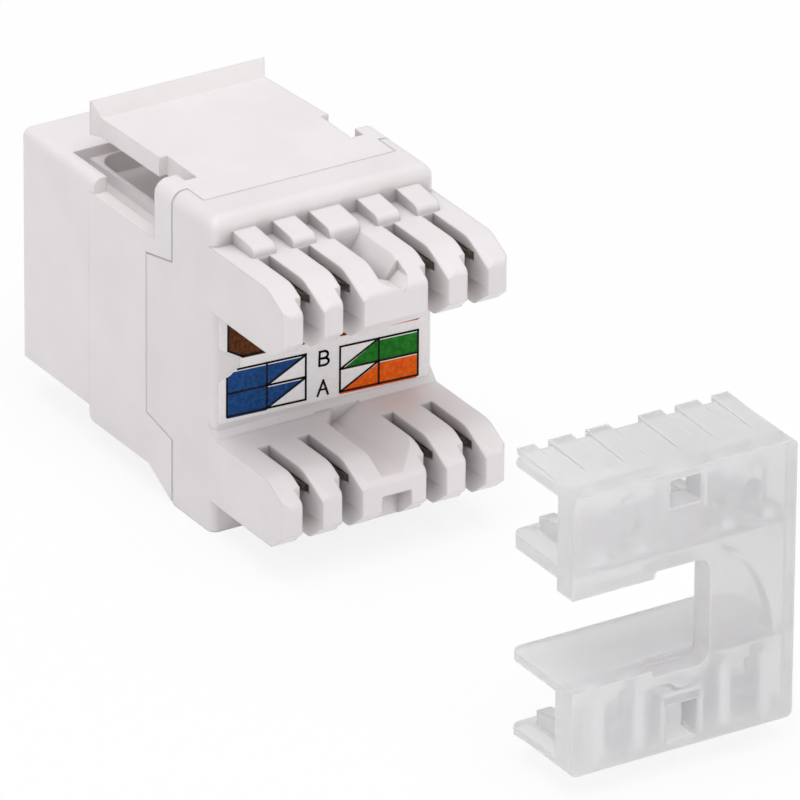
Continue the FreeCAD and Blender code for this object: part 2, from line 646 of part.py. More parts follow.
def make_block():
    """Rear block with two terminal rows, padded from its side view."""
    body = new_body("rear_block")
    front = -(d.seam_depth + d.seam_gap)
    rear = -d.block_rear
    chin_slope = (d.base_drop - d.stop_drop).value / (d.chin_end - d.chin_depth).value
    seam_bottom = -(d.stop_drop + (d.seam_depth + d.seam_gap - d.chin_depth) * chin_slope)
    side = [
        (front, seam_bottom),
        (-d.chin_end, -d.base_drop),
        (rear, -d.base_drop),
        (rear, d.lower_bottom),
        (-d.heel_depth, d.lower_bottom),
        (-d.row_tip, d.lower_bottom + d.tip_rise),
        (-d.row_tip, d.lower_top - d.tip_fall),
        (-d.row_taper, d.lower_top),
        (rear - d.root_bevel, d.lower_top),
        (rear, d.lower_top + d.root_bevel),
        (rear, d.upper_bottom),
        (-d.heel_depth, d.upper_bottom),
        (-d.row_tip, d.upper_bottom + d.tip_rise),
        (-d.row_tip, d.upper_top - d.tip_fall),
        (-d.row_taper, d.upper_top),
        (rear, d.upper_top),
        (rear, d.lever_top),
        (front, d.lever_top),
    ]
    pad(body, "block_side_view", "YZ", [side], -BODY_HALF, BODY_HALF)
    round_edges(body, "upright_rounding", d.block_side_round, lambda box: runs_along(
        box, "Z", {"Y": rear}))
    round_edges(body, "top_rounding", d.block_round, lambda box: runs_along(
        box, "X", {"Y": rear, "Z": d.lever_top}))
    for name, depth, level, radius in (
            ("upper_crest", d.row_taper, d.upper_top, d.crest_round),
            ("lower_crest", d.row_taper, d.lower_top, d.crest_round),
            ("upper_heel", d.heel_depth, d.upper_bottom, d.heel_round),
            ("lower_heel", d.heel_depth, d.lower_bottom, d.heel_round),
            ("upper_tip", d.row_tip, d.upper_top - d.tip_fall, d.tip_round),
            ("lower_tip", d.row_tip, d.lower_top - d.tip_fall, d.tip_round)):
        round_edges(body, name, radius, lambda box: runs_along(
            box, "X", {"Y": -depth, "Z": level}))
    corner = [
        (BODY_HALF - d.corner_cut, -d.row_tip - d.past),
        (BODY_HALF - d.corner_cut, -d.row_tip),
        (BODY_HALF, -d.row_tip + d.corner_cut),
        (BODY_HALF + d.past, -d.row_tip + d.corner_cut),
        (BODY_HALF + d.past, -d.row_tip - d.past),
    ]
    cut = pocket(body, "tip_corner", "XY", [corner],
                 d.lower_bottom - d.past, d.upper_top + d.past)
    mirror(body, "tip_corners", [cut])
    root = rectangle(-ROOT_HALF - d.root_gap, ROOT_HALF + d.root_gap,
                     -(d.root_rear + d.root_gap), front + d.past)
    pocket(body, "root_notch", "XY", [root],
           d.lever_top - d.lever_thick - d.root_gap, d.lever_top + d.past)
    arm = pad(body, "arm", "YZ", [side_arm_outline(0)],
              BODY_HALF - d.arm_thick + d.seam_gap, BODY_HALF)
    mirror(body, "arms", [arm])

    # wire slots run down through both rows
    slots = [slot_outline(centre) for centre in SLOT_CENTRES]
    pocket(body, "wire_slots", "XY", slots, d.lower_bottom - d.past, d.upper_top + d.overlap)

    for row, level in enumerate((d.upper_top, d.lower_top), start=1):
        for number, centre in enumerate(SLOT_CENTRES, start=1):
            cut_facet(body, "facet_%d_%d" % (row, number), centre, level)

    # wider bays under the forks, which take the cap's stuffers
    bay_half = d.stuffer_half + d.cap_fit
    bay_end = cap_front() + d.stuffer_reach + 2 * d.cap_fit
    bays = [rectangle(centre - bay_half, centre + bay_half, -d.row_tip - d.past, bay_end)
            for centre in SLOT_CENTRES]
    for row, floor in enumerate((d.upper_bottom, d.lower_bottom), start=1):
        pocket(body, "stuffer_bays_%d" % row, "XY", bays,
               floor - d.overlap, floor + d.stuffer_high + d.cap_fit)

    # slits that hold the terminals, tall enough for their bend
    slits = []
    for level in FORK_LEVELS:
        for centre in SLOT_CENTRES:
            slits.append(rectangle(
                centre - d.fork_half - d.fit_gap, centre + d.fork_half + d.fit_gap,
                level - d.pin_drop - d.fork_thick * 0.5 - d.fit_gap,
                level + d.fork_thick * 0.5 + d.fit_gap))
    joggle_end = -(d.joggle_depth + d.fork_thick + d.fit_gap)
    pocket(body, "terminal_slits", "XZ", slits, joggle_end, front + d.past)
    slits = []
    for level in FORK_LEVELS:
        for centre in SLOT_CENTRES:
            slits.append(rectangle(
                centre - d.fork_half - d.fit_gap, centre + d.fork_half + d.fit_gap,
                level - d.fork_thick * 0.5 - d.fit_gap,
                level + d.fork_thick * 0.5 + d.fit_gap))
    pocket(body, "fork_slits", "XZ", slits, -(d.fork_tip + d.fit_gap), front + d.past)

    # scoops in the middle teeth, steep on the left and rising to the right
    top = d.upper_top
    scoop = [
        (-d.scoop_left, top + d.past),
        (-d.scoop_left, top - d.window_depth),
        (d.scoop_middle, top - d.window_depth),
        (d.scoop_middle, top - d.window_bend),
        (d.scoop_right, top),
        (d.scoop_right, top + d.past),
    ]
    pocket(body, "upper_scoop", "XZ", [scoop], -d.window_end, -d.window_front)
    trough = [
        (-d.scoop_left, top + d.overlap),
        (-d.scoop_left, top - d.trough_side),
        (d.trough_valley, top - d.trough_depth),
        (d.scoop_right, top - d.trough_side),
        (d.scoop_right, top + d.overlap),
    ]
    pocket(body, "upper_trough", "XZ", [trough],
           -d.row_tip - d.past, -d.window_end + d.overlap)
    top = d.lower_top
    scoop = [
        (-d.scoop_left, top + d.overlap),
        (-d.scoop_left, top - d.lower_scoop_depth),
        (d.lower_scoop_middle, top - d.lower_scoop_depth),
        (d.lower_scoop_right, top),
        (d.lower_scoop_right, top + d.overlap),
    ]
    pocket(body, "lower_scoop", "XZ", [scoop], -d.row_tip - d.past, -d.lower_scoop_root)
    corner = [
        (-d.scoop_left - d.overlap, -d.lower_scoop_corner),
        (-d.scoop_left, -d.lower_scoop_corner),
        (d.lower_scoop_middle, -d.lower_scoop_root + d.overlap),
        (-d.scoop_left - d.overlap, -d.lower_scoop_root + d.overlap),
    ]
    pad(body, "scoop_corner", "XY", [corner],
        top - d.lower_scoop_depth - d.overlap, top)
    notch = rectangle(-d.notch_left, d.scoop_right, -d.row_tip - d.past, -d.notch_front)
    pocket(body, "lower_notch", "XY", [notch], d.lower_bottom - d.past, d.notch_top)

    # ribs at the root of the upper row
    rib = [
        (rear + d.overlap, d.upper_top - d.overlap),
        (-d.rib_end, d.upper_top - d.overlap),
        (-d.rib_end, d.rib_low),
        (rear + d.overlap, d.rib_top),
    ]
    spans = [(centre - d.rib_shift, centre - d.rib_shift + d.rib_width)
             for centre in SLOT_CENTRES]
    spans.insert(2, (-d.rib_half, d.rib_half))
    for number, (left, right) in enumerate(spans, start=1):
        pad(body, "rib_%d" % number, "YZ", [rib], left, right)
    round_edges(body, "rib_rounding", d.rib_round, lambda box: runs_along(
        box, "X", {"Y": -d.rib_end, "Z": d.rib_low}))
    return body


# ---------------------------------------------------------------- inner pieces


def make_sled():
    """Plastic insert that carries the port contacts."""
    body = new_body("contact_sled")
    gap = d.fit_gap
    half = d.port_half - gap
    rear = -(d.seam_depth - d.board_thick - gap)
    side = [
        (-(d.sled_slot_front + gap), d.port_ceiling),
        (-d.port_deep, d.port_ceiling),
        (-d.port_deep, d.comb_top),
        (-d.comb_front, d.comb_top),
        (-d.comb_front, d.comb_bottom),
        (-d.port_deep, d.comb_bottom),
        (-d.port_deep, d.port_floor + gap),
        (rear, d.port_floor + gap),
        (rear, d.port_ceiling + d.sled_thick - gap),
        (-(d.sled_slot_front + gap), d.port_ceiling + d.sled_thick - gap),
    ]
    pad(body, "sled_side_view", "YZ", [side], -half, half)
    grooves = []
    combs = []
    for centre in WIRE_CENTRES:
        left = centre - d.wire_slot * 0.5
        right = centre + d.wire_slot * 0.5
        grooves.append(rectangle(left, right, d.port_ceiling - d.overlap,
                                 d.port_ceiling + d.wire_level + d.wire_slot * 0.5))
        combs.append(rectangle(left, right, d.comb_bottom + d.comb_skin, d.comb_top + d.overlap))
    pocket(body, "wire_grooves", "XZ", grooves, rear - d.past, d.past)
    pocket(body, "comb_slots", "XZ", combs, -(d.port_deep - d.comb_skin), -d.comb_front + d.past)
    return body


def make_port_contact(number, centre):
    """Spring wire: along the sled, round a bend and back down into the comb."""
    body = new_body("port_contact_%d" % number)
    level = d.port_ceiling + d.wire_level
    start = -d.seam_depth + d.pin_inset
    path = body.newObject("Sketcher::SketchObject", "contact_path_%d" % number)
    path.AttachmentSupport = (origin_plane(body, "YZ_Plane"), [""])
    path.MapMode = "FlatFace"
    path.setExpression("AttachmentOffset.Base.z", centre.formula)

    bend_y = -(d.wire_front + d.wire_radius + d.wire_bend)
    bend_z = level - d.wire_bend
    centre_point = Vector(bend_y.value, bend_z.value, 0)
    tip = Vector(-d.wire_tip_depth.value, d.wire_tip_level.value, 0)
    reach = tip - centre_point
    opening = math.acos(d.wire_bend.value / reach.Length)
    angle = math.atan2(reach.y, reach.x) + opening
    touch = centre_point + Vector(math.cos(angle), math.sin(angle), 0) * d.wire_bend.value
    circle = Part.Circle(centre_point, Vector(0, 0, 1), d.wire_bend.value)
    top = centre_point + Vector(0, d.wire_bend.value, 0)
    path.addGeometry(Part.LineSegment(Vector(start.value, level.value, 0), top), False)
    path.addGeometry(Part.ArcOfCircle(circle, angle, math.pi / 2), False)
    path.addGeometry(Part.LineSegment(touch, tip), False)
    path.addConstraint(Sketcher.Constraint("Tangent", 0, 2, 1, 2))
    path.addConstraint(Sketcher.Constraint("Tangent", 1, 1, 2, 1))
    path.addConstraint(Sketcher.Constraint("Horizontal", 0))
    tie(path, 0, "DistanceX", start)
    tie(path, 0, "DistanceY", level)
    radius = path.addConstraint(Sketcher.Constraint("Radius", 1, d.wire_bend.value))
    path.setExpression("Constraints[%d]" % radius, d.wire_bend.formula)
    middle = path.addConstraint(
        Sketcher.Constraint("DistanceX", 1, 3, -1, 1, -bend_y.value))
    path.setExpression("Constraints[%d]" % middle, (-bend_y).formula)
    for kind, size in (("DistanceX", d.wire_tip_depth), ("DistanceY", d.wire_tip_level)):
        ends = (2, 2, -1, 1) if kind == "DistanceX" else (-1, 1, 2, 2)
        rule = path.addConstraint(Sketcher.Constraint(kind, *ends, size.value))
        path.setExpression("Constraints[%d]" % rule, size.formula)

    section = body.newObject("Sketcher::SketchObject", "contact_section_%d" % number)
    section.AttachmentSupport = (origin_plane(body, "XZ_Plane"), [""])
    section.MapMode = "FlatFace"
    section.setExpression("AttachmentOffset.Base.x", centre.formula)
    section.setExpression("AttachmentOffset.Base.y", level.formula)
    section.setExpression("AttachmentOffset.Base.z", (-start).formula)
    half_width = d.wire_width * 0.5
    half_thick = d.wire_radius
    draw_loop(section, rectangle(-half_width, half_width, -half_thick, half_thick))

    pipe = body.newObject("PartDesign::AdditivePipe", "contact_wire_%d" % number)
    pipe.Profile = section
    pipe.Spine = (path, ["Edge1", "Edge2", "Edge3"])
    body.Tip = pipe
    return body


def make_idc_contact(number, centre, level):
    """Stamped terminal: pin, bend and two tines that grip a wire between them."""
    body = new_body("idc_contact_%d" % number)
    pin_end = -(d.seam_depth - d.board_thick + d.pin_inset)
    half = d.fork_thick * 0.5
    pin_level = level - d.pin_drop
    bend_rear = -(d.joggle_depth + d.fork_thick)
    fork = [
        (centre - d.fork_half, -d.joggle_depth),
        (centre - d.fork_half, -d.fork_tip),
        (centre - d.fork_flare, -d.fork_tip),
        (centre - d.fork_gap, -(d.fork_tip - d.fork_lead)),
        (centre - d.fork_gap, -d.fork_crotch),
        (centre + d.fork_gap, -d.fork_crotch),
        (centre + d.fork_gap, -(d.fork_tip - d.fork_lead)),
        (centre + d.fork_flare, -d.fork_tip),
        (centre + d.fork_half, -d.fork_tip),
        (centre + d.fork_half, -d.joggle_depth),
    ]
    pad(body, "fork_%d" % number, "XY", [fork], level - half, level + half)
    bend = rectangle(centre - d.fork_half, centre + d.fork_half,
                     bend_rear, -d.joggle_depth)
    pad(body, "bend_%d" % number, "XY", [bend], pin_level - half, level)
    tail = [
        (centre - d.pin_half, pin_end),
        (centre - d.pin_half, -d.fork_root),
        (centre - d.fork_half, -d.fork_root),
        (centre - d.fork_half, bend_rear),
        (centre + d.fork_half, bend_rear),
        (centre + d.fork_half, -d.fork_root),
        (centre + d.pin_half, -d.fork_root),
        (centre + d.pin_half, pin_end),
    ]
    pad(body, "tail_%d" % number, "XY", [tail], pin_level - half, pin_level + half)
    return body


def make_board():
    """Circuit board between the sled and the block, drilled for every pin."""
    plate = solid_box(
        "board_plate",
        (-BOARD_HALF, BOARD_HALF),
        (-d.seam_depth, -(d.seam_depth - d.board_thick)),
        (d.board_bottom, d.board_top),
    )
    through = (-(d.seam_depth + d.past), -(d.seam_depth - d.board_thick - d.past))
    drills = []
    for number, centre in enumerate(WIRE_CENTRES, start=1):
        drills.append(cylinder_along_y(
            "wire_hole_%d" % number, centre, d.port_ceiling + d.wire_level,
            through, d.wire_width * 0.5 + d.hole_gap))
    for row, level in enumerate(FORK_LEVELS, start=1):
        for number, centre in enumerate(SLOT_CENTRES, start=1):
            drills.append(cylinder_along_y(
                "pin_hole_%d_%d" % (row, number), centre, level - d.pin_drop,
                through, d.pin_half + 2 * d.hole_gap))
    board = cut_from("circuit_board", plate, drills)
    board.Label = "circuit_board"
    return board


def make_label():
    """Wiring chart stuck to the block's end face between the rows."""
    body = new_body("wiring_label")
    outline = [
        (-d.label_left, d.label_top),
        (-d.label_left, d.nick_top),
        (-d.label_left + d.label_nick, d.nick_high),
        (-d.label_left + d.label_nick, d.nick_low),
        (-d.label_left, d.nick_bottom),
        (-d.label_left, d.label_bottom),
        (d.label_right, d.label_bottom - d.label_fall),
        (d.label_right, d.label_top),
    ]
    pad(body, "label_outline", "XZ", [outline],
        -(d.block_rear + d.label_thick), -d.block_rear)
    return body


# ---------------------------------------------------------------- cap


def cap_front():
    """Front of the cap while it is closed over the rows."""
    return -(d.row_tip + d.cap_fit + d.cap_wall)


def make_cap():
    """Clear cap: two channels that close over the rows, joined by a spine.

    It is drawn closed over the rows and then placed where it is pulled off."""
    body = new_body("dust_cap")
    front = cap_front()
    inner = front + d.cap_wall
    rear = front + d.cap_reach
    fit = d.cap_fit
    upper_floor = d.upper_bottom - fit - d.cap_floor_thick
    upper_lip = upper_floor - d.cap_lip
    top = d.upper_top + fit + d.cap_skin
    bottom = d.lower_bottom - fit - d.cap_skin
    lower_top = d.lower_top + fit + d.cap_skin

    # front wall with the cable gap, open to the left
    plate = rectangle(-d.cap_half, d.cap_half, bottom, top)
    pad(body, "front_wall", "XZ", [plate], front, inner)
    bulge_left = -d.gap_bulge_left
    gap = [
        (-d.cap_half - d.past, lower_top),
        (bulge_left, lower_top),
        (bulge_left, lower_top - d.gap_bulge),
        (d.spine_left, lower_top - d.gap_bulge),
        (d.spine_left, upper_lip + d.gap_bulge),
        (bulge_left, upper_lip + d.gap_bulge),
        (bulge_left, upper_lip),
        (-d.cap_half - d.past, upper_lip),
    ]
    pocket(body, "cable_gap", "XZ", [gap], front - d.past, inner + d.past)
    round_edges(body, "gap_rounding", d.gap_round, lambda box: runs_along(
        box, "Y", {"X": d.spine_left}))
    round_edges(body, "bulge_rounding", d.gap_bulge_round, lambda box: runs_along(
        box, "Y", {"X": bulge_left}))

    # channel walls, each rounded at its two far corners
    walls = (
        ("upper_roof", d.upper_top + fit, top),
        ("upper_floor", upper_floor, d.upper_bottom - fit),
        ("lower_roof", d.lower_top + fit, lower_top),
        ("lower_floor", bottom, d.lower_bottom - fit),
    )
    wall = rectangle(-d.cap_half, d.cap_half, inner - d.overlap, rear)
    for name, low, high in walls:
        pad(body, name, "XY", [wall], low, high)
    round_edges(body, "wall_corners", d.cap_corner_round, lambda box: runs_along(
        box, "Z", {"Y": rear}))
    round_edges(body, "right_edges", d.cap_edge_round, lambda box: runs_along(
        box, "Y", {"X": d.cap_half}) and (near(box.Center.z, top) or near(box.Center.z, bottom)))

    # grip nubs along the roof's and the floor's far edges
    sunk = d.overlap * 0.5
    nub_end = rear - d.nub_length
    roof_nub = [(nub_end, top - sunk), (rear, top - sunk),
                (rear, top + d.nub_rise), (nub_end, top)]
    floor_nub = [(nub_end, bottom + sunk), (rear, bottom + sunk),
                 (rear, bottom - d.nub_rise), (nub_end, bottom)]
    inner_low = d.nub_inner - d.nub_width * 0.5
    outer_low = inner_low + d.nub_pitch * 2
    spans = (
        (inner_low, inner_low + d.nub_width),
        (inner_low + d.nub_pitch, inner_low + d.nub_pitch + d.nub_width),
        (outer_low, d.cap_half - d.cap_edge_round),
    )
    for number, (low, high) in enumerate(spans, start=1):
        pad(body, "roof_nub_right_%d" % number, "YZ", [roof_nub], low, high)
        pad(body, "roof_nub_left_%d" % number, "YZ", [roof_nub], -high, -low)
        pad(body, "floor_nub_right_%d" % number, "YZ", [floor_nub], low, high)
        pad(body, "floor_nub_left_%d" % number, "YZ", [floor_nub], -high, -low)

    # windows beside the roof and the floor
    half = d.cap_window_half
    upper_window = rectangle(-half, half, d.upper_top + fit - d.cap_window_upper,
                             d.upper_top + fit)
    lower_window = rectangle(-half, half, d.lower_bottom - fit,
                             d.lower_bottom - fit + d.cap_window_lower)
    pocket(body, "front_windows", "XZ", [upper_window, lower_window], front - d.past, inner)

    # stuffers that press the wires into the slots from the cap's floors
    end = front + d.stuffer_reach
    for row, floor in enumerate((d.upper_bottom - fit, d.lower_bottom - fit), start=1):
        roof = floor + (d.upper_top - d.upper_bottom) + 2 * fit
        post = inner + d.post_reach
        stuffer = [
            (inner - d.overlap, floor - d.overlap),
            (end, floor - d.overlap),
            (end, floor + d.stuffer_low),
            (post, floor + d.stuffer_high),
            (post, roof - d.tip_fall),
            (inner - d.overlap, roof - d.tip_fall),
        ]
        for number, centre in enumerate(SLOT_CENTRES, start=1):
            pad(body, "stuffer_%d_%d" % (row, number), "YZ", [stuffer],
                centre - d.stuffer_half, centre + d.stuffer_half)
    body.setExpression("Placement.Base.y", (-d.cap_pull).formula)
    return body


# ---------------------------------------------------------------- assembly


def build():
    nodes = [make_housing(), make_block(), make_board(), make_sled()]
    for number, centre in enumerate(WIRE_CENTRES, start=1):
        nodes.append(make_port_contact(number, centre))
    places = [(centre, level) for level in FORK_LEVELS for centre in SLOT_CENTRES]
    for number, (centre, level) in enumerate(places, start=1):
        nodes.append(make_idc_contact(number, centre, level))
    nodes.append(make_label())
    nodes.append(make_cap())
    doc.recompute()
    return nodes


def check(nodes):
    for item in doc.Objects:
        if "Invalid" in item.State or "Error" in item.State:
            raise RuntimeError("%s failed: %s" % (item.Name, item.State))
    for node in nodes:
        shape = node.Shape
        if shape.isNull() or not shape.isValid() or shape.Volume <= 0:
            raise RuntimeError("%s has no valid solid" % node.Label)
        if len(shape.Solids) != 1:
            raise RuntimeError("%s has %d solids" % (node.Label, len(shape.Solids)))


def write(nodes):
    os.makedirs("parts", exist_ok=True)
    for node in nodes:
        node.Shape.exportStep("parts/%s.step" % node.Label)
        box = node.Shape.BoundBox
        print("%-16s %8.2f mm3  x %.2f..%.2f  y %.2f..%.2f  z %.2f..%.2f" % (
            node.Label, node.Shape.Volume, box.XMin, box.XMax,
            box.YMin, box.YMax, box.ZMin, box.ZMax))


nodes = build()
check(nodes)
write(nodes)
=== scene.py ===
import math

import bmesh
import bpy
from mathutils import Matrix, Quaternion, Vector


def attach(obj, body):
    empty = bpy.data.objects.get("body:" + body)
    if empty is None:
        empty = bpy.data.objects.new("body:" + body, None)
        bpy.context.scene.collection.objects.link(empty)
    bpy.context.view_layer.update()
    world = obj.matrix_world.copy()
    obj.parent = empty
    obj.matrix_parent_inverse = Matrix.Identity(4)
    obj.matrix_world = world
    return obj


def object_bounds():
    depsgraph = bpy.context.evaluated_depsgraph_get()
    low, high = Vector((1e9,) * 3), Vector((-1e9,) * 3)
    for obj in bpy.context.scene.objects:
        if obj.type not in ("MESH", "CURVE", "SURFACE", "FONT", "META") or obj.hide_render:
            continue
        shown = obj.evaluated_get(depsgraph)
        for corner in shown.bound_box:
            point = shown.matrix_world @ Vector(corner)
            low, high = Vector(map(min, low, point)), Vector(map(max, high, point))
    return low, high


# Keystone jack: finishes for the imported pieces, the printed wiring chart,
# a pale studio and a camera. Lengths are in metres, apart from the outlines of
# the chart and of the cap's ribs, which are laid out in mm.

MM = 0.001

VIEW_AZIMUTH = -31.9      # degrees; 0 looks along +Y, negative comes from -X
VIEW_ELEVATION = 26.4     # degrees above the horizon
VIEW_ROLL = 0.45          # degrees
VIEW_DISTANCE = 0.745
VIEW_LENS = 598.0         # mm on a 36 mm sensor

# Where an edge counts as rounded: cosine between softened and true normal.
EDGE_STARTS, EDGE_FULL = 0.995, 0.86
# Open share of the surroundings at which the painted crevice shade is darkest, and at which it
# fades out.
CREVICE_DEEP, CREVICE_OPEN = 0.2, 0.75
CREVICE_REACH = 1.6 * MM

# Half width of the cap, and the painted shade on its right side: how bright its colour is there
# against its left.
CAP_HALF = 7.2 * MM
CAP_RIGHT_PAINTED_SHADE = 0.955

# Studio: the floor's colour, the share of it that the camera sees as white, and
# the strength of the soft light from all round.
FLOOR_COLOUR = (0.93, 0.93, 0.93)
FLOOR_WHITE = 0.84
SKY_STRENGTH = 0.62

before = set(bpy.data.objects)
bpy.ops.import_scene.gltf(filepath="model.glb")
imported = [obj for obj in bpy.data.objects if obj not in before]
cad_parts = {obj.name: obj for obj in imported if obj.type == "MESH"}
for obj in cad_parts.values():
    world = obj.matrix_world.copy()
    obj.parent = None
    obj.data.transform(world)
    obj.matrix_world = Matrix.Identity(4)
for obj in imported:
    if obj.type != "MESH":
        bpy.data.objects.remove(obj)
cad_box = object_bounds()


# ------------------------------------------------------------ node helpers


class Nodes:
    """Short way to write a material's node tree."""

    def __init__(self, name):
        self.material = bpy.data.materials.new(name)
        self.material.use_nodes = True
        self.tree = self.material.node_tree
        self.tree.nodes.clear()
        self.output = self.tree.nodes.new("ShaderNodeOutputMaterial")

    def add(self, kind, **settings):
        node = self.tree.nodes.new(kind)
        for key, value in settings.items():
            setattr(node, key, value)
        return node

    def link(self, source, target):
        self.tree.links.new(source, target)

    def coordinates(self):
        return self.add("ShaderNodeTexCoord").outputs["Object"]

    def noise(self, scale, detail=2.0, roughness=0.5):
        node = self.add("ShaderNodeTexNoise")
        node.inputs["Scale"].default_value = scale
        node.inputs["Detail"].default_value = detail
        node.inputs["Roughness"].default_value = roughness
        self.link(self.coordinates(), node.inputs["Vector"])
        return node.outputs["Fac"]

    def ramp(self, source, stops):
        node = self.add("ShaderNodeValToRGB")
        elements = node.color_ramp.elements
        while len(elements) < len(stops):
            elements.new(0.5)
        for element, (place, colour) in zip(elements, stops):
            element.position = place
            element.color = (*colour, 1.0)
        self.link(source, node.inputs["Fac"])
        return node.outputs["Color"]

    def span(self, source, low, high):
        """Map a 0..1 value to low..high."""
        node = self.add("ShaderNodeMapRange")
        node.inputs["To Min"].default_value = low
        node.inputs["To Max"].default_value = high
        self.link(source, node.inputs["Value"])
        return node.outputs["Result"]

    def paint_shade_across(self, colour, half, left, right):
        """Multiply a colour by a painted shade that runs from left to right along X."""
        parts = self.add("ShaderNodeSeparateXYZ")
        self.link(self.coordinates(), parts.inputs["Vector"])
        shade = self.add("ShaderNodeMapRange")
        shade.inputs["From Min"].default_value = -half
        shade.inputs["From Max"].default_value = half
        shade.inputs["To Min"].default_value = left
        shade.inputs["To Max"].default_value = right
        self.link(parts.outputs["X"], shade.inputs["Value"])
        node = self.add("ShaderNodeVectorMath", operation="SCALE")
        self.link(colour, node.inputs[0])
        self.link(shade.outputs["Result"], node.inputs["Scale"])
        return node.outputs["Vector"]

    def paint_crevice_shade(self, colour, reach, darkest):
        """Paint shade into a colour: darken it between walls that stand close together."""
        hidden = self.add("ShaderNodeAmbientOcclusion", samples=8, only_local=True)
        hidden.inputs["Distance"].default_value = reach
        shade = self.add("ShaderNodeMapRange")
        shade.inputs["From Min"].default_value = CREVICE_DEEP
        shade.inputs["From Max"].default_value = CREVICE_OPEN
        shade.inputs["To Min"].default_value = darkest
        shade.inputs["To Max"].default_value = 1.0
        self.link(hidden.outputs["AO"], shade.inputs["Value"])
        node = self.add("ShaderNodeVectorMath", operation="SCALE")
        self.link(colour, node.inputs[0])
        self.link(shade.outputs["Result"], node.inputs["Scale"])
        return node.outputs["Vector"]

    def rounded_normal(self, radius):
        node = self.add("ShaderNodeBevel", samples=6)
        node.inputs["Radius"].default_value = radius
        return node.outputs["Normal"]

    def edge_mask(self, soft, most):
        """0 on flat faces, rising to most where the softened normal leans at an edge."""
        geometry = self.add("ShaderNodeNewGeometry")
        dot = self.add("ShaderNodeVectorMath", operation="DOT_PRODUCT")
        self.link(soft, dot.inputs[0])
        self.link(geometry.outputs["True Normal"], dot.inputs[1])
        mask = self.add("ShaderNodeMapRange")
        mask.inputs["From Min"].default_value = EDGE_STARTS
        mask.inputs["From Max"].default_value = EDGE_FULL
        mask.inputs["To Min"].default_value = 0.0
        mask.inputs["To Max"].default_value = most
        self.link(dot.outputs["Value"], mask.inputs["Value"])
        return mask.outputs["Result"]

    def bump(self, height, distance, strength=1.0, normal=None):
        node = self.add("ShaderNodeBump")
        node.inputs["Distance"].default_value = distance
        node.inputs["Strength"].default_value = strength
        self.link(height, node.inputs["Height"])
        if normal is not None:
            self.link(normal, node.inputs["Normal"])
        return node.outputs["Normal"]

    def principled(self, **values):
        shader = self.add("ShaderNodeBsdfPrincipled")
        for key, value in values.items():
            socket = shader.inputs[key.replace("_", " ")]
            if hasattr(value, "is_output"):
                self.link(value, socket)
            else:
                socket.default_value = value
        self.link(shader.outputs["BSDF"], self.output.inputs["Surface"])
        return shader


def white_plastic(name, shade=1.0, edge=0.12 * MM, crevice=None):
    """Satin ABS moulding: faint colour drift, fine spark texture, soft edges.

    With a crevice shade, painted shade darkens narrow gaps between walls, down to that share."""
    n = Nodes(name)
    light = (0.845 * shade, 0.812 * shade, 0.818 * shade)
    dark = (0.815 * shade, 0.780 * shade, 0.785 * shade)
    colour = n.ramp(n.noise(260.0, 3.0), [(0.35, dark), (0.65, light)])
    # painted shade: the colour goes darker where walls stand close together
    if crevice is not None:
        colour = n.paint_crevice_shade(colour, CREVICE_REACH, crevice)
    gloss = n.span(n.noise(1800.0, 2.0), 0.36, 0.46)
    normal = n.bump(n.noise(9000.0, 3.0, 0.6), 0.004 * MM, 0.35,
                    n.rounded_normal(edge))
    n.principled(Base_Color=colour, Roughness=gloss, Normal=normal, IOR=1.49,
                 Subsurface_Weight=0.12, Subsurface_Scale=0.6 * MM,
                 Subsurface_Radius=(1.0, 0.75, 0.7))
    return n.material


def clear_plastic(milk=0.4, painted_edge_highlight=0.9):
    """Frosted clear moulding: part rough glass, part scattered light, bright edges that are a
    painted highlight, and a painted shade on its right side.
    """
    n = Nodes("frosted_clear_plastic")
    speckle = n.ramp(n.noise(500.0, 2.0),
                     [(0.3, (0.965, 0.962, 0.97)), (0.7, (0.99, 0.985, 0.99))])
    # painted shade: the cap's colour goes a little darker towards its right side
    colour = n.paint_shade_across(speckle, CAP_HALF, 1.0, CAP_RIGHT_PAINTED_SHADE)
    gloss = n.span(n.noise(900.0, 3.0), 0.05, 0.12)
    soft = n.rounded_normal(0.22 * MM)
    normal = n.bump(n.noise(5000.0, 2.0), 0.006 * MM, 0.25, soft)
    shell = n.principled(Base_Color=colour, Roughness=gloss, Normal=normal, IOR=1.3,
                         Transmission_Weight=0.68)
    scatter = n.add("ShaderNodeBsdfTranslucent")
    n.link(colour, scatter.inputs["Color"])
    n.link(normal, scatter.inputs["Normal"])
    edge_highlight_diffuse = n.add("ShaderNodeBsdfDiffuse")
    n.link(speckle, edge_highlight_diffuse.inputs["Color"])
    n.link(normal, edge_highlight_diffuse.inputs["Normal"])
    body = n.add("ShaderNodeMixShader")
    body.inputs[0].default_value = milk
    n.link(shell.outputs["BSDF"], body.inputs[1])
    n.link(scatter.outputs["BSDF"], body.inputs[2])
    # painted highlight: near edges the cap turns to plain white diffuse, for the bright lines of
    # light along them
    mix = n.add("ShaderNodeMixShader")
    n.link(n.edge_mask(soft, painted_edge_highlight), mix.inputs[0])
    n.link(body.outputs[0], mix.inputs[1])
    n.link(edge_highlight_diffuse.outputs["BSDF"], mix.inputs[2])
    n.link(mix.outputs[0], n.output.inputs["Surface"])
    return n.material


def metal(name, light, dark, roughness):
    n = Nodes(name)
    colour = n.ramp(n.noise(2500.0, 4.0, 0.6), [(0.3, dark), (0.7, light)])
    gloss = n.span(n.noise(6000.0, 2.0), roughness * 0.8, roughness * 1.3)
    normal = n.bump(n.noise(8000.0, 2.0), 0.005 * MM, 0.4, n.rounded_normal(0.03 * MM))
    n.principled(Base_Color=colour, Roughness=gloss, Normal=normal, Metallic=1.0)
    return n.material


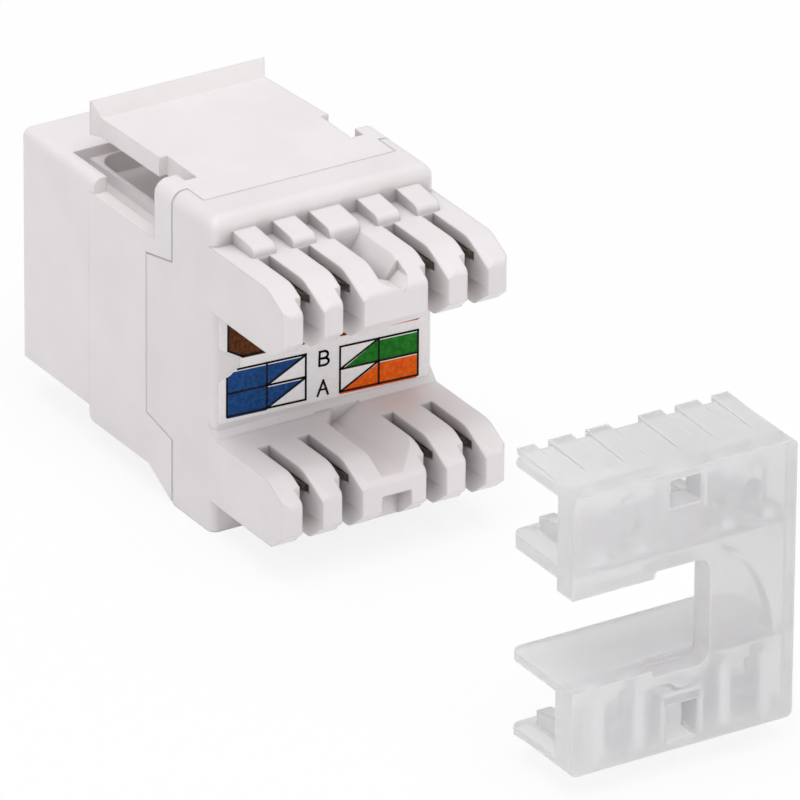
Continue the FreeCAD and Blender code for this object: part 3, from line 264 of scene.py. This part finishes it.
def board_material():
    n = Nodes("solder_mask_green")
    colour = n.ramp(n.noise(900.0, 3.0), [(0.35, (0.01, 0.10, 0.035)), (0.65, (0.02, 0.15, 0.05))])
    gloss = n.span(n.noise(3000.0, 2.0), 0.25, 0.4)
    n.principled(Base_Color=colour, Roughness=gloss, IOR=1.5)
    return n.material


def paper(name, light, dark, grain=3000.0, roughness=0.55, shine=0.3):
    """Matt stock or printed ink with its speckle."""
    n = Nodes(name)
    spread = 0.08
    colour = n.ramp(n.noise(grain, 3.0, 0.7), [(0.4, dark), (0.6, light)])
    gloss = n.span(n.noise(2000.0, 2.0), roughness - spread, roughness + spread)
    normal = n.bump(n.noise(7000.0, 3.0), 0.004 * MM, 0.4)
    n.principled(Base_Color=colour, Roughness=gloss, Normal=normal,
                 Specular_IOR_Level=shine)
    return n.material


def printing_ink(name, light, dark):
    return paper(name, light, dark, 5200.0, 0.6, 0.12)


def finish_node(node, material):
    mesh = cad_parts[node].data
    mesh.materials.clear()
    mesh.materials.append(material)


# ------------------------------------------------------------ finishes

finish_node("housing", white_plastic("satin_white_plastic"))
# painted shade: the rear block is the housing's plastic made a little darker so its sides read
# darker, and it also gets painted shade in its crevices
finish_node("rear_block", white_plastic("satin_white_plastic_block_painted_shade", 0.97, 0.18 * MM, 0.55))
finish_node("contact_sled", white_plastic("satin_white_plastic_sled", 0.93))
finish_node("circuit_board", board_material())
finish_node("dust_cap", clear_plastic())
gold = metal("gold_plating", (0.95, 0.76, 0.38), (0.86, 0.64, 0.27), 0.2)
tin = metal("tin_plating", (0.40, 0.36, 0.32), (0.16, 0.14, 0.12), 0.36)
for number in range(1, 9):
    finish_node("port_contact_%d" % number, gold)
    finish_node("idc_contact_%d" % number, tin)
finish_node("wiring_label", paper("label_paper", (0.93, 0.91, 0.91), (0.89, 0.87, 0.87)))

# ------------------------------------------------------------ printed wiring chart

# The chart is laid out in label coordinates: u to the right and v up, in mm.
# The label was stuck on a little askew.
LABEL_TILT = -0.0435
LABEL_FACE = -21.24       # the label's outer face along Y, in mm
INK_THICK = 0.008
ROW_TOP, ROW_MIDDLE, ROW_BOTTOM = 7.47, 6.05, 4.62
UPPER_BOTTOM = 8.24
LEFT_CHART = (-6.42, -3.79, -1.22)
RIGHT_CHART = (1.05, 3.63, 6.24)


def label_point(u, v, layer):
    z = v + LABEL_TILT * u
    return (u * MM, (LABEL_FACE - INK_THICK * layer) * MM, z * MM)


def ink(name, outlines, material, layer):
    """Thin film of ink: closed outlines (u, v) standing a layer off the paper."""
    mesh = bpy.data.meshes.new(name)
    build = bmesh.new()
    for outline in outlines:
        face = build.faces.new(
            [build.verts.new(label_point(u, v, layer)) for u, v in outline])
        if face.normal.y > 0:
            face.normal_flip()
    made = bmesh.ops.extrude_face_region(build, geom=list(build.faces))
    raised = [item for item in made["geom"] if isinstance(item, bmesh.types.BMVert)]
    bmesh.ops.translate(build, verts=raised, vec=(0, -INK_THICK * MM, 0))
    bmesh.ops.recalc_face_normals(build, faces=build.faces)
    build.to_mesh(mesh)
    build.free()
    piece = bpy.data.objects.new(name, mesh)
    bpy.context.scene.collection.objects.link(piece)
    mesh.materials.append(material)
    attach(piece, "jack")


def stroke(points, width):
    """Outlines of a pen line through (u, v) points, with squared overlapping ends."""
    outlines = []
    for (u0, v0), (u1, v1) in zip(points, points[1:]):
        length = math.hypot(u1 - u0, v1 - v0)
        along = ((u1 - u0) / length * width * 0.5, (v1 - v0) / length * width * 0.5)
        side = (-along[1], along[0])
        outlines.append([
            (u0 - along[0] - side[0], v0 - along[1] - side[1]),
            (u1 + along[0] - side[0], v1 + along[1] - side[1]),
            (u1 + along[0] + side[0], v1 + along[1] + side[1]),
            (u0 - along[0] + side[0], v0 - along[1] + side[1]),
        ])
    return outlines


def arc(u, v, radius_u, radius_v, start, end, steps=10):
    turns = [math.radians(start + (end - start) * k / steps) for k in range(steps + 1)]
    return [(u + radius_u * math.cos(t), v + radius_v * math.sin(t)) for t in turns]


def make_print():
    blue = printing_ink("blue_ink", (0.014, 0.078, 0.26), (0.007, 0.045, 0.165))
    green = printing_ink("green_ink", (0.018, 0.22, 0.018), (0.007, 0.13, 0.008))
    orange = printing_ink("orange_ink", (0.90, 0.150, 0.007), (0.74, 0.088, 0.003))
    brown = printing_ink("brown_ink", (0.140, 0.042, 0.010), (0.060, 0.016, 0.004))
    black = printing_ink("black_ink", (0.014, 0.011, 0.011), (0.005, 0.004, 0.005))

    # colours sit a little low in their boxes, as a second pass of the press left them
    slip = 0.13
    inset = 0.06            # bare edge at the right of the right-hand chart
    hidden_rise = 1.4       # the upper boxes run on under the row of teeth
    hidden_top = 11.0
    left, middle, right = LEFT_CHART
    ink("chart_blue", [
        [(left, ROW_BOTTOM - slip), (middle, ROW_BOTTOM - slip),
         (middle, ROW_MIDDLE), (left, ROW_MIDDLE)],
        [(left, ROW_MIDDLE), (middle, ROW_MIDDLE), (middle, ROW_TOP - slip),
         (-5.98, ROW_TOP - slip), (-6.14, 7.22), (left, 7.06)],
        [(middle, ROW_BOTTOM - slip * 0.6), (right, ROW_MIDDLE - slip),
         (middle, ROW_MIDDLE - slip)],
        [(middle, ROW_MIDDLE - slip * 0.6), (right, ROW_TOP - slip),
         (middle, ROW_TOP - slip)],
    ], blue, 0)
    left, middle, right = RIGHT_CHART
    ink("chart_green", [
        [(left + 0.2, ROW_MIDDLE - slip * 0.3), (middle, ROW_MIDDLE - slip * 0.3),
         (middle, ROW_TOP - slip * 0.5)],
        [(middle, ROW_MIDDLE - slip * 0.3), (right - inset, ROW_MIDDLE - slip * 0.3),
         (right - inset, ROW_TOP - slip), (middle, ROW_TOP - slip)],
    ], green, 0)
    ink("chart_orange", [
        [(left, ROW_BOTTOM - slip * 1.2), (middle, ROW_BOTTOM - slip * 1.2),
         (middle, ROW_MIDDLE - slip), (left, ROW_BOTTOM - slip * 0.5)],
        [(middle, ROW_BOTTOM - slip * 1.2), (right - inset, ROW_BOTTOM - slip * 1.2),
         (right - inset, ROW_MIDDLE - slip), (middle, ROW_MIDDLE - slip)],
        [(left, UPPER_BOTTOM - slip), (right, UPPER_BOTTOM - slip),
         (right, UPPER_BOTTOM + hidden_rise), (left, UPPER_BOTTOM + hidden_rise)],
    ], orange, 0)
    ink("chart_brown", [
        [(-6.34, 8.72), (-5.53, 8.26), (-5.43, UPPER_BOTTOM - slip), (-1.3, UPPER_BOTTOM - slip),
         (-1.3, hidden_top), (-6.34, hidden_top)],
    ], brown, 0)

    line = 0.13
    lines = []
    for left, middle, right in (LEFT_CHART, RIGHT_CHART):
        lines += stroke([(left, ROW_MIDDLE), (right, ROW_MIDDLE)], line)
        lines += stroke([(middle, ROW_BOTTOM), (middle, ROW_TOP)], line)
    left, middle, right = LEFT_CHART
    lines += stroke([(-5.70, ROW_TOP), (right, ROW_TOP), (right, ROW_BOTTOM),
                     (left, ROW_BOTTOM), (left, 7.03)], line)
    lines += stroke([(middle, ROW_MIDDLE), (right, ROW_TOP)], line)
    lines += stroke([(middle, ROW_BOTTOM), (right, ROW_MIDDLE)], line)
    left, middle, right = RIGHT_CHART
    lines += stroke([(left, ROW_TOP), (right, ROW_TOP), (right, ROW_BOTTOM),
                     (left, ROW_BOTTOM), (left, ROW_TOP)], line)
    lines += stroke([(left, ROW_MIDDLE), (middle, ROW_TOP)], line)
    lines += stroke([(left, ROW_BOTTOM), (middle, ROW_MIDDLE)], line)
    lines += stroke([(left, UPPER_BOTTOM), (right, UPPER_BOTTOM)], line * 1.2)
    lines += stroke([(-6.34, hidden_top), (-6.34, 8.74), (-5.50, 8.27), (-5.36, UPPER_BOTTOM),
                     (-1.22, UPPER_BOTTOM), (-1.22, hidden_top)], line)
    ink("chart_lines", lines, black, 1)

    # the letters that tell the two wiring schemes apart
    pen = 0.14
    letter_b = stroke([(-0.33, 6.55), (-0.30, 7.42)], pen)
    letter_b += stroke([(-0.30, 7.42)] + arc(-0.02, 7.20, 0.26, 0.22, 90, -90)
                       + [(-0.31, 6.99)], pen)
    letter_b += stroke([(-0.31, 6.99)] + arc(0.0, 6.76, 0.29, 0.22, 90, -90)
                       + [(-0.33, 6.55)], pen)
    letter_a = stroke([(-0.43, 4.68), (-0.06, 5.58), (0.25, 4.68)], pen)
    letter_a += stroke([(-0.31, 5.02), (0.15, 5.02)], pen * 0.85)
    ink("chart_letters", letter_b + letter_a, black, 1)


make_print()


# ------------------------------------------------------------ moulded ribs in the cap

# Posts and a curved rib show through the cap's front wall. Levels are in mm.
SLOT_CENTRES = (-5.39, -2.78, 2.78, 5.39)
WALL_FRONT, WALL_BACK = -58.74, -57.22


def rounded_prism(build, outline, front, back, soft):
    """Prism along Y over an (x, z) outline, with its long edges softened."""
    face = build.faces.new([build.verts.new((x * MM, front * MM, z * MM)) for x, z in outline])
    made = bmesh.ops.extrude_face_region(build, geom=[face])
    raised = [item for item in made["geom"] if isinstance(item, bmesh.types.BMVert)]
    bmesh.ops.translate(build, verts=raised, vec=(0, (back - front) * MM, 0))
    fresh = set(raised) | set(face.verts)
    edges = [edge for edge in build.edges if fresh.issuperset(edge.verts)]
    bmesh.ops.bevel(build, geom=edges, offset=soft * MM, segments=3, affect="EDGES")


def make_cap_ribs():
    build = bmesh.new()
    # bottom, top and half width of what shows of the posts, which narrow upwards
    posts = ((-0.2, 3.7, 0.45), (11.7, 12.4, 0.42), (14.75, 15.35, 0.3))
    taper = 0.85
    for centre in SLOT_CENTRES:
        for low, high, half in posts:
            rounded_prism(build, [(centre - half, low), (centre + half, low),
                                  (centre + half * taper, high),
                                  (centre - half * taper, high)],
                          WALL_FRONT, WALL_BACK, 0.1)
    # middle x and z, radii, start and end angles, width
    curves = (
        (1.9, 4.2, 3.95, 6.2, 4, 74, 0.27),       # rib down the spine
        (-4.08, 1.9, 0.55, 0.45, 200, 340, 0.1),  # ejector marks
        (0.0, 3.35, 0.55, 0.45, 200, 340, 0.1),
        (4.08, 1.9, 0.55, 0.45, 200, 340, 0.1),
        (4.3, 13.7, 0.6, 0.8, -60, 150, 0.1),
    )
    for x, z, across, up, start, end, width in curves:
        outline = arc(x, z, across, up, start, end, 12)
        outline += arc(x, z, across + width, up + width, end, start, 12)
        rounded_prism(build, outline, WALL_FRONT, WALL_BACK, 0.03)
    # frames beside the two windows, and a bar over the lower one
    for low, high in ((-0.2, 2.3), (13.6, 15.5)):
        for left, right in ((-1.4, -1.12), (1.12, 1.4)):
            rounded_prism(build, [(left, low), (right, low), (right, high), (left, high)],
                          WALL_FRONT, WALL_BACK, 0.05)
    rounded_prism(build, [(-1.4, 2.42), (1.4, 2.42), (1.3, 2.7), (-1.3, 2.7)],
                  WALL_FRONT, WALL_BACK, 0.05)
    bmesh.ops.recalc_face_normals(build, faces=build.faces)
    mesh = bpy.data.meshes.new("cap_ribs")
    build.to_mesh(mesh)
    build.free()
    piece = bpy.data.objects.new("cap_ribs", mesh)
    bpy.context.scene.collection.objects.link(piece)
    mesh.materials.append(paper("milky_plastic", (0.97, 0.97, 0.975), (0.93, 0.93, 0.94)))
    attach(piece, "dust_cap")


make_cap_ribs()


# ------------------------------------------------------------ studio


def studio_material(name, colour, white):
    """Pale surface that the camera sees nearly white, with its shadow kept."""
    n = Nodes(name)
    diffuse = n.add("ShaderNodeBsdfDiffuse")
    tone = n.ramp(n.noise(6.0, 2.0), [(0.3, colour), (0.7, [c * 1.01 for c in colour])])
    n.link(tone, diffuse.inputs["Color"])
    glow = n.add("ShaderNodeEmission")
    glow.inputs["Strength"].default_value = 1.0
    rays = n.add("ShaderNodeLightPath")
    seen = n.add("ShaderNodeMath", operation="MAXIMUM")
    n.link(rays.outputs["Is Camera Ray"], seen.inputs[0])
    n.link(rays.outputs["Is Glossy Ray"], seen.inputs[1])
    seen_too = n.add("ShaderNodeMath", operation="MAXIMUM")
    n.link(seen.outputs[0], seen_too.inputs[0])
    n.link(rays.outputs["Is Transmission Ray"], seen_too.inputs[1])
    share = n.add("ShaderNodeMath", operation="MULTIPLY")
    n.link(seen_too.outputs[0], share.inputs[0])
    share.inputs[1].default_value = white
    mix = n.add("ShaderNodeMixShader")
    n.link(share.outputs[0], mix.inputs[0])
    n.link(diffuse.outputs[0], mix.inputs[1])
    n.link(glow.outputs[0], mix.inputs[2])
    n.link(mix.outputs[0], n.output.inputs["Surface"])
    return n.material


def make_floor():
    low, _ = cad_box
    mesh = bpy.data.meshes.new("floor")
    reach = 4.0
    build = bmesh.new()
    corners = [(-reach, -reach), (reach, -reach), (reach, reach), (-reach, reach)]
    build.faces.new([build.verts.new((x, y, low[2])) for x, y in corners])
    build.to_mesh(mesh)
    build.free()
    floor = bpy.data.objects.new("floor", mesh)
    bpy.context.scene.collection.objects.link(floor)
    mesh.materials.append(studio_material("pale_floor", FLOOR_COLOUR, FLOOR_WHITE))


def make_world():
    world = bpy.data.worlds.new("studio")
    bpy.context.scene.world = world
    world.use_nodes = True
    tree = world.node_tree
    tree.nodes.clear()
    output = tree.nodes.new("ShaderNodeOutputWorld")
    soft = tree.nodes.new("ShaderNodeBackground")
    soft.inputs["Color"].default_value = (1.0, 0.985, 0.99, 1.0)
    soft.inputs["Strength"].default_value = SKY_STRENGTH
    white = tree.nodes.new("ShaderNodeBackground")
    white.inputs["Strength"].default_value = 1.0
    rays = tree.nodes.new("ShaderNodeLightPath")
    mix = tree.nodes.new("ShaderNodeMixShader")
    tree.links.new(rays.outputs["Is Camera Ray"], mix.inputs[0])
    tree.links.new(soft.outputs[0], mix.inputs[1])
    tree.links.new(white.outputs[0], mix.inputs[2])
    tree.links.new(mix.outputs[0], output.inputs["Surface"])


def softbox(name, place, aim, size, power):
    light = bpy.data.lights.new(name, "AREA")
    light.shape = "SQUARE"
    light.size = size
    light.energy = power
    lamp = bpy.data.objects.new(name, light)
    lamp.location = place
    lamp.rotation_euler = (Vector(aim) - Vector(place)).to_track_quat("-Z", "Y").to_euler()
    bpy.context.scene.collection.objects.link(lamp)


def make_lights():
    aim = (0.0, -0.02, 0.008)
    softbox("top_softbox", (-0.05, -0.1, 0.55), aim, 0.5, 1.6)
    softbox("left_softbox", (-0.6, -0.25, 0.3), aim, 0.4, 0.1)
    softbox("front_softbox", (0.3, -0.7, 0.16), aim, 0.4, 0.47)


def make_camera():
    """Camera at the chosen angle, aimed at the middle of the whole object."""
    low, high = (Vector(corner) for corner in cad_box)
    aim = (low + high) * 0.5
    azimuth = math.radians(VIEW_AZIMUTH)
    elevation = math.radians(VIEW_ELEVATION)
    back = Vector((
        math.sin(azimuth) * math.cos(elevation),
        -math.cos(azimuth) * math.cos(elevation),
        math.sin(elevation),
    ))
    data = bpy.data.cameras.new("camera")
    data.lens = VIEW_LENS
    data.sensor_width = 36.0
    data.clip_start = 0.05
    camera = bpy.data.objects.new("camera", data)
    camera.location = aim + back * VIEW_DISTANCE
    turn = back.to_track_quat("Z", "Y")
    camera.rotation_mode = "QUATERNION"
    camera.rotation_quaternion = turn @ Quaternion((0, 0, 1), math.radians(VIEW_ROLL))
    bpy.context.scene.collection.objects.link(camera)
    bpy.context.scene.camera = camera


make_floor()
make_world()
make_lights()
make_camera()
bpy.context.scene.view_settings.view_transform = "Standard"
